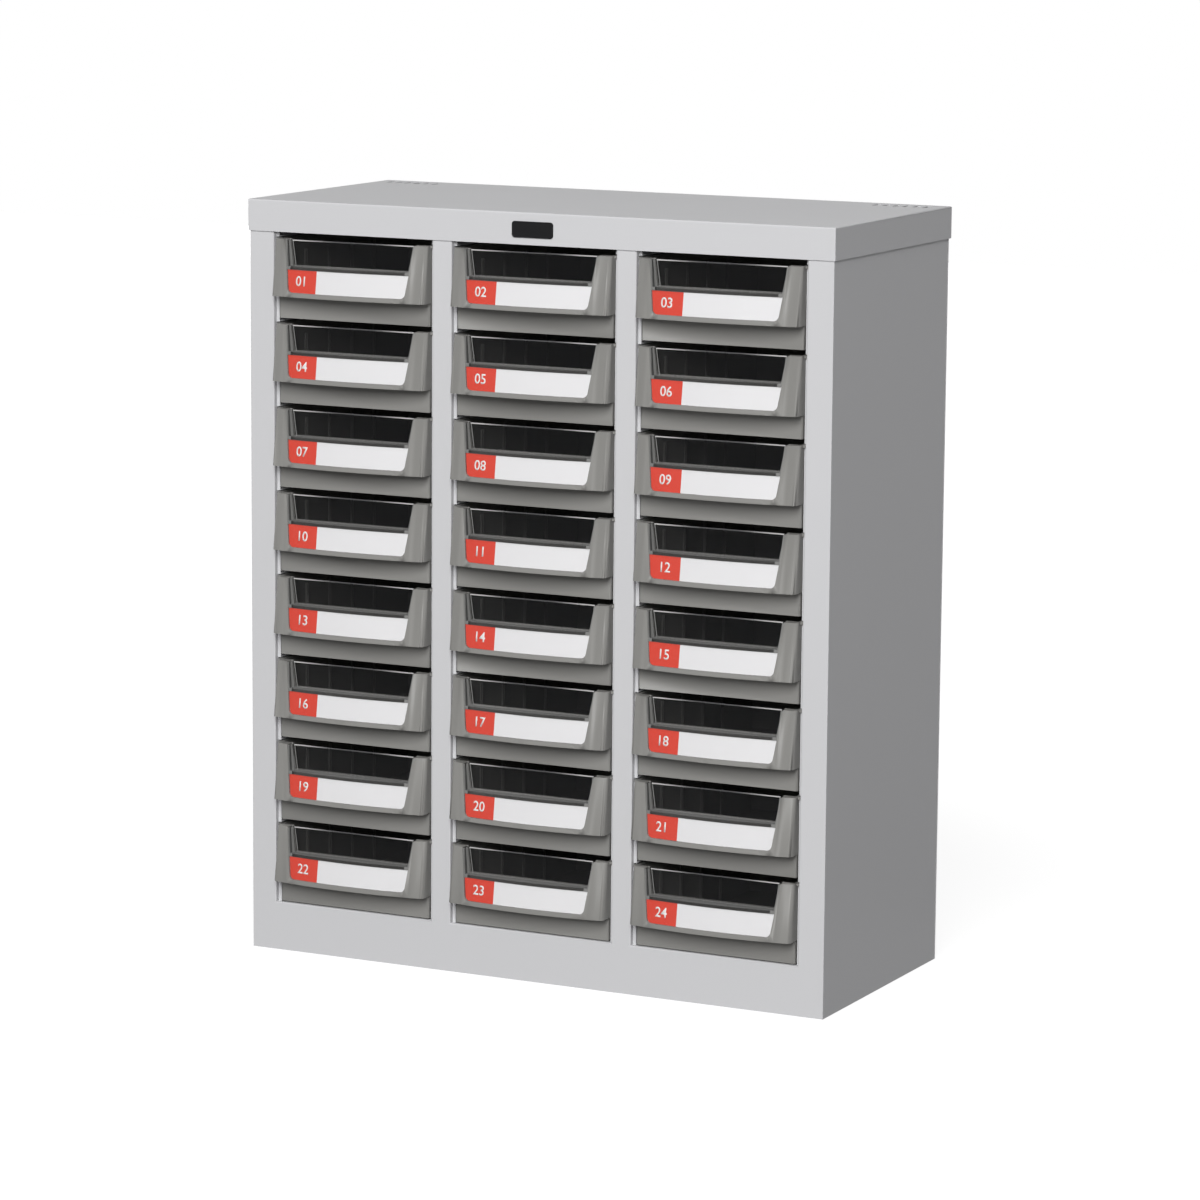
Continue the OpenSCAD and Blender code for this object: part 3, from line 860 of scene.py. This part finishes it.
# %% Fold the cap
CAP_TOP_BEND, CAP_CORNER_BEND = 1.4 * MM, 0.9 * MM
cap = new_block("cap_cover", (cap_low.x, cap_high.x), (cap_low.y, cap_high.y), (cap_low.z, cap_high.z))
edit_faces(cap, lambda centre, normal: normal.z < -0.5)
bpy.ops.mesh.delete(type="FACE")
leave_edit()
round_edges(cap, CAP_TOP_BEND, 4, lambda a, b: min(a.z, b.z) > cap_high.z - NEAR)
# Only the four long corners: the top bend left short upright edges behind
round_edges(cap, CAP_CORNER_BEND, 3, lambda a, b: upright(a, b) and abs(a.z - b.z) > 2 * CAP_TOP_BEND)
finish_with(cap, "SOLIDIFY", thickness=CAP_SHEET, offset=-1, use_even_offset=True)
print("cap:", triangles(cap), "triangles")

# %% Punch the slots
SLOTS, SLOT_PITCH, SLOT_W, SLOT_L = 6, 9.0 * MM, 4.0 * MM, 15.0 * MM
SLOT_SIDE, SLOT_BACK = 14.5 * MM, 18.5 * MM
# The ends are a trace less than half round, so that the two bevels never meet
SLOT_END_R, PUNCH_REACH = SLOT_W / 2 - 0.02 * MM, 5.0 * MM
for side in (-1, 1):
    for index in range(SLOTS):
        x = side * (cap_high.x - SLOT_SIDE - index * SLOT_PITCH)
        y = cap_high.y - CAP_SHEET - SLOT_BACK
        slot = new_block("slot", (x - SLOT_W / 2, x + SLOT_W / 2), (y - SLOT_L / 2, y + SLOT_L / 2),
                         (cap_high.z - PUNCH_REACH, cap_high.z + PUNCH_REACH))
        round_edges(slot, SLOT_END_R, 6, upright)
        combine(cap, slot, "DIFFERENCE")
shade_sheet(cap)
cap.data.materials.append(paint)
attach(cap, "casing")
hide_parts("top_cap")
print("slots:", 2 * SLOTS)

# %% [markdown]
# ## Front frame
#
# Stiles, mullions and rail are what is left of one sheet once the openings are cut and their
# borders are folded back. So it is modelled as the sheet is made: a flat face is bisected along
# the openings' borders, the openings are deleted, and the edges that are left open are extruded
# back. A small bevel is the bend, and Solidify gives the sheet its thickness.

# %% Cut the openings
bpy.ops.object.select_all(action="DESELECT")
bpy.ops.mesh.primitive_plane_add(size=1, rotation=(math.pi / 2, 0, 0),
                                 location=(0, front_y, (front_low.z + front_high.z) / 2))
front = bpy.context.object
front.name = "front_plate"
bpy.ops.transform.resize(value=(2 * side_x, 1, front_high.z - front_low.z))
bpy.ops.object.transform_apply(location=True, rotation=True, scale=True)
opening_sides = []
for column in range(COLUMNS):
    left = -side_x + STILE + column * (OPENING + MULLION)
    opening_sides += [left, left + OPENING]
slice_piece(front, [((x, 0, 0), (1, 0, 0)) for x in opening_sides])
slice_piece(front, [((0, 0, z), (0, 0, 1)) for z in (opening_foot, opening_top)])


def under_opening(x):
    """True where x lies between the two sides of an opening."""
    return any(left < x < right for left, right in zip(opening_sides[::2], opening_sides[1::2]))


def in_opening(x, z):
    return under_opening(x) and opening_foot < z < opening_top


print("openings:", edit_faces(front, lambda centre, normal: in_opening(centre.x, centre.z)))
bpy.ops.mesh.delete(type="FACE")
leave_edit()


# %% Fold the borders back
FOLD_BEND, FRONT_CORNER_BEND = 1.1 * MM, 0.6 * MM


def on_opening_border(a, b):
    x, z = (a.x + b.x) / 2, (a.z + b.z) / 2
    on_side = any(abs(x - side) < NEAR for side in opening_sides) and opening_foot < z < opening_top
    on_end = min(abs(z - opening_foot), abs(z - opening_top)) < NEAR and under_opening(x)
    return (on_side or on_end) and max(a.y, b.y) < front_y + NEAR


def on_outer_side(a, b):
    return min(abs(a.x), abs(b.x)) > side_x - NEAR and max(a.y, b.y) < front_y + NEAR


edit_edges(front, on_opening_border)
bpy.ops.mesh.extrude_edges_move(TRANSFORM_OT_translate={"value": (0, FRAME_RETURN, 0)})
leave_edit()
round_edges(front, FOLD_BEND, 3, on_opening_border)
select_only(front)
bpy.ops.object.mode_set(mode="EDIT")
bpy.ops.mesh.select_all(action="SELECT")
bpy.ops.mesh.normals_make_consistent(inside=False)
leave_edit()
if front.data.polygons[0].normal.y > 0:
    front.data.flip_normals()
finish_with(front, "SOLIDIFY", thickness=SHEET, offset=-1, use_even_offset=True)
round_edges(front, FRONT_CORNER_BEND, 3, on_outer_side)
shade_sheet(front)
front.data.materials.append(paint)
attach(front, "casing")
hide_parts("front_frame")
print("front frame:", triangles(front), "triangles", [round(v / MM, 1) for v in front.dimensions])

# %% [markdown]
# ## Side panels
#
# Each side is a sheet with a flange bent in at the rear, where the back panel is riveted on. A
# plane, one extruded edge, a bevel for the bend and Solidify make the left one. The right one
# is mirrored, so its normals are turned out again before it gets its thickness.

# %% Bend the side panels
PANEL_FLANGE, PANEL_BEND = 12.0 * MM, 1.2 * MM


def side_panel(side):
    bpy.ops.object.select_all(action="DESELECT")
    low_y, high_y = left_low.y, left_high.y
    bpy.ops.mesh.primitive_plane_add(size=1, rotation=(0, side * math.pi / 2, 0), location=(
        side * side_x, (low_y + high_y) / 2, (left_low.z + left_high.z) / 2))
    panel = bpy.context.object
    panel.name = "left_side" if side < 0 else "right_side"
    bpy.ops.transform.resize(value=(1, high_y - low_y, left_high.z - left_low.z))
    bpy.ops.object.transform_apply(location=True, rotation=True, scale=True)
    edit_edges(panel, lambda a, b: min(a.y, b.y) > high_y - NEAR)
    bpy.ops.mesh.extrude_edges_move(TRANSFORM_OT_translate={"value": (-side * PANEL_FLANGE, 0, 0)})
    leave_edit()
    round_edges(panel, PANEL_BEND, 3, lambda a, b: upright(a, b) and a.y > high_y - NEAR
                and abs(abs(a.x) - side_x) < NEAR)
    outer = min(panel.data.polygons, key=lambda polygon: polygon.center.y)
    if outer.normal.x * side < 0:
        panel.data.flip_normals()
    finish_with(panel, "SOLIDIFY", thickness=SHEET, offset=-1, use_even_offset=True)
    shade_sheet(panel)
    panel.data.materials.append(paint)
    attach(panel, "casing")
    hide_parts("left_side_panel" if side < 0 else "right_side_panel")
    return panel


for side in (-1, 1):
    print(side_panel(side).name, "ready")

# %% [markdown]
# ## Name plate
#
# The plate on the cap is left plain: a small black sheet with round corners, whose middle is
# pressed in a little. A block is bevelled at its corners, and its front face is inset twice.

# %% Name plate
PLATE_CORNER_R, PLATE_RIM = 2.6 * MM, 0.8 * MM
PLATE_STEP, PLATE_SINK, PLATE_EDGE = 0.25 * MM, 0.2 * MM, 0.12 * MM
plate = new_block("black_badge", (plate_low.x, plate_high.x), (plate_low.y, plate_high.y),
                  (plate_low.z, plate_high.z))
round_edges(plate, PLATE_CORNER_R, 8, front_to_back)
edit_faces(plate, lambda centre, normal: normal.y < -0.9)
bpy.ops.mesh.inset(thickness=PLATE_RIM, depth=0)
bpy.ops.mesh.inset(thickness=PLATE_STEP, depth=-PLATE_SINK)
leave_edit()
soften(plate, PLATE_EDGE)
plate.data.materials.append(plate_black)
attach(plate, "casing")
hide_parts("name_plate")
print("name plate:", triangles(plate), "triangles")

# %% [markdown]
# ## Rivets
#
# Thirty blind rivets hold the back. A blind rivet has a low domed head with a small pit where
# its pin broke off. One is made from a cylinder: its rim is bevelled round, and its end face is
# inset and pushed in. The places are laid out in five rows and six columns from the casing's sizes.

# %% Rivet places
RIVET_ROWS, RIVET_MARGIN, RIVET_D, HEAD_H = 5, 45 * MM, 6.5 * MM, 1.1 * MM
TAIL_D, TAIL_H, TAIL_EDGE = 4.8 * MM, 1.5 * MM, 0.3 * MM
HEAD_ROUND, PIT_RIM, PIT_WALL, PIT_DEPTH = 0.8 * MM, 1.3 * MM, 0.25 * MM, 0.5 * MM
UPRIGHT_FLANGE = 10.0 * MM
half_columns = [side_x - PANEL_FLANGE / 2, side_x - STILE + UPRIGHT_FLANGE / 2, (OPENING + MULLION) / 2]
rivet_columns = [side * x for x in half_columns for side in (-1, 1)]
rivet_step = (cap_low.z - 2 * RIVET_MARGIN) / (RIVET_ROWS - 1)
print("rivet columns:", [round(x / MM, 1) for x in rivet_columns])


# %% Make the rivets
def new_cylinder(name, diameter, height, sides, y, turn):
    """A cylinder that lies from front to back, with its middle at y."""
    bpy.ops.object.select_all(action="DESELECT")
    bpy.ops.mesh.primitive_cylinder_add(vertices=sides, radius=diameter / 2, depth=height,
                                        rotation=(turn, 0, 0), location=(0, y, 0))
    cylinder = bpy.context.object
    cylinder.name = name
    bpy.ops.object.transform_apply(location=True, rotation=True, scale=True)
    return cylinder


def new_rivet():
    head = new_cylinder("rivet", RIVET_D, HEAD_H, 24, back_y + HEAD_H / 2, -math.pi / 2)
    rim_y = back_y + HEAD_H
    edit_edges(head, lambda a, b: min(a.y, b.y) > rim_y - NEAR)
    bpy.ops.mesh.bevel(offset=HEAD_ROUND, segments=4, affect="EDGES")
    leave_edit()
    edit_faces(head, lambda centre, normal: normal.y > 0.99)
    bpy.ops.mesh.inset(thickness=PIT_RIM, depth=0)
    bpy.ops.mesh.inset(thickness=PIT_WALL, depth=-PIT_DEPTH)
    leave_edit()
    tail = new_cylinder("tail", TAIL_D, TAIL_H, 16, back_y - 2 * SHEET - TAIL_H / 2, math.pi / 2)
    soften(tail, TAIL_EDGE)
    head.select_set(True)
    bpy.context.view_layer.objects.active = head
    bpy.ops.object.join()
    shade_smooth(head, 40)
    return head


rivet = new_rivet()
rivet.data.materials.append(rivet_metal)
row_copies = [place_copy(rivet, "rivets", (x, 0, RIVET_MARGIN + row * rivet_step))
              for x in rivet_columns for row in range(RIVET_ROWS)]
bpy.data.objects.remove(rivet, do_unlink=True)
select_only(row_copies[0])
for copy in row_copies:
    copy.select_set(True)
bpy.ops.object.join()
rivets = bpy.context.object
rivets.name = "back_rivet_heads"
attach(rivets, "casing")
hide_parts("back_rivets")
print("rivets:", len(row_copies), "with", triangles(rivets), "triangles")

# %% [markdown]
# ## Pieces that keep their frame shape
#
# The back panel, the bottom pan and the runner sheets are plain flat sheets, and the frame has
# them exactly. They only get the casing's powder coat.

# %% Coat the sheets that stay
KEPT_SHEETS = ("back_panel", "bottom_pan", "left_runner_upright", "right_runner_upright",
               "partition_1", "partition_2")
for name in KEPT_SHEETS:
    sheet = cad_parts[name]
    sheet.data.materials.clear()
    sheet.data.materials.append(paint)
print("coated:", len(KEPT_SHEETS))

# %% [markdown]
# ## Floor, backdrop and light
#
# The cabinet stands on a plain white floor in a white studio. The white is the colour of the
# surroundings as the camera sees them. The light on the cabinet itself stays at a plain level,
# so that a paint colour comes out as it is written: one large soft lamp in front, to the right
# and above, a low weak one behind, and a fill from all round that is weaker overhead.

# %% White floor
def seen_directly(tree):
    """1 for what the camera sees, also in a mirror or through glass, and 0 for fill light."""
    path = tree.nodes.new("ShaderNodeLightPath")
    seen = maths(tree, "MAXIMUM", path.outputs["Is Camera Ray"], path.outputs["Is Glossy Ray"])
    return maths(tree, "MAXIMUM", seen, path.outputs["Is Transmission Ray"])


FLOOR_SIZE, FLOOR_GAP, FLOOR_TONE = 12.0, 0.2 * MM, 0.22
# The floor glows less near the cabinet, so that a shadow shows there, and is all white further off
SHADOW_REACH, WHITE_FROM, SHADOW_GLOW = 0.45, 1.0, 0.89
bpy.ops.object.select_all(action="DESELECT")
bpy.ops.mesh.primitive_plane_add(size=FLOOR_SIZE, location=(0, 0, -FLOOR_GAP))
floor = bpy.context.object
floor.name = "studio_floor"
floor_white = bpy.data.materials.new("studio_floor_white")
floor_white.use_nodes = True
tree = floor_white.node_tree
nodes, link = tree.nodes, tree.links.new
floor_shader = nodes["Principled BSDF"]
floor_shader.inputs["Base Color"].default_value = (FLOOR_TONE, FLOOR_TONE, FLOOR_TONE, 1)
floor_shader.inputs["Roughness"].default_value = 0.9
floor_shader.inputs["Specular IOR Level"].default_value = 0.0
floor_place = nodes.new("ShaderNodeTexCoord")
from_middle = nodes.new("ShaderNodeVectorMath")
from_middle.operation = "LENGTH"
link(floor_place.outputs["Object"], from_middle.inputs[0])
glow = nodes.new("ShaderNodeEmission")
link(ramp(tree, from_middle.outputs["Value"], SHADOW_REACH, WHITE_FROM, SHADOW_GLOW, 1.0, smooth=True),
     glow.inputs["Strength"])
both = nodes.new("ShaderNodeAddShader")
link(floor_shader.outputs[0], both.inputs[0])
link(glow.outputs[0], both.inputs[1])
seen = nodes.new("ShaderNodeMixShader")
link(seen_directly(tree), seen.inputs["Fac"])
link(floor_shader.outputs[0], seen.inputs[1])
link(both.outputs[0], seen.inputs[2])
link(seen.outputs[0], nodes["Material Output"].inputs["Surface"])
floor.data.materials.append(floor_white)
print("floor:", FLOOR_SIZE, "m wide")

# %% White surroundings
SIDE_FILL, TOP_FILL = 0.24, 0.03
world = bpy.data.worlds.new("studio")
world.use_nodes = True
bpy.context.scene.world = world
tree = world.node_tree
nodes, link = tree.nodes, tree.links.new
nodes.clear()
direction = nodes.new("ShaderNodeTexCoord")
height = nodes.new("ShaderNodeSeparateXYZ")
link(direction.outputs["Generated"], height.inputs[0])
fill = ramp(tree, height.outputs["Z"], 0.0, 1.0, SIDE_FILL, TOP_FILL)
surroundings = nodes.new("ShaderNodeBackground")
surroundings.inputs["Color"].default_value = (1, 1, 1, 1)
link(ramp(tree, seen_directly(tree), 0.0, 1.0, fill, 1.0), surroundings.inputs["Strength"])
out = nodes.new("ShaderNodeOutputWorld")
link(surroundings.outputs[0], out.inputs["Surface"])
print("fill:", SIDE_FILL, "to", TOP_FILL)

# %% Soft lamps
# The rear lamp reaches from just over the floor to just under the cabinet's top, so its light
# never falls on the top or the front.
LAMP_DISTANCE, LAMP_WIDTH, REAR_LAMP_TALL = 8.0, 4.4, 0.6


def soft_lamp(name, azimuth, height, tall, level):
    """A lamp that lights a surface facing it to level times the surface's colour."""
    azimuth, height = math.radians(azimuth), math.radians(height)
    target = Vector((0, 0, cap_high.z / 2))
    toward = Vector((math.sin(azimuth) * math.cos(height), -math.cos(azimuth) * math.cos(height),
                     math.sin(height)))
    data = bpy.data.lights.new(name, "AREA")
    data.shape = "RECTANGLE"
    data.size, data.size_y = LAMP_WIDTH, tall
    data.energy = math.pi ** 2 * LAMP_DISTANCE ** 2 * level
    lamp = bpy.data.objects.new(name, data)
    bpy.context.scene.collection.objects.link(lamp)
    aim = (-toward).to_track_quat("-Z", "Y").to_matrix().to_4x4()
    lamp.matrix_world = Matrix.Translation(target + toward * LAMP_DISTANCE) @ aim
    print(name, round(data.energy), "W")


soft_lamp("front_lamp", azimuth=16, height=30, tall=LAMP_WIDTH, level=1.055)
soft_lamp("rear_lamp", azimuth=-145, height=0, tall=REAR_LAMP_TALL, level=0.4)

# %% View settings
bpy.context.scene.view_settings.view_transform = "Standard"
print("view:", bpy.context.scene.view_settings.view_transform)
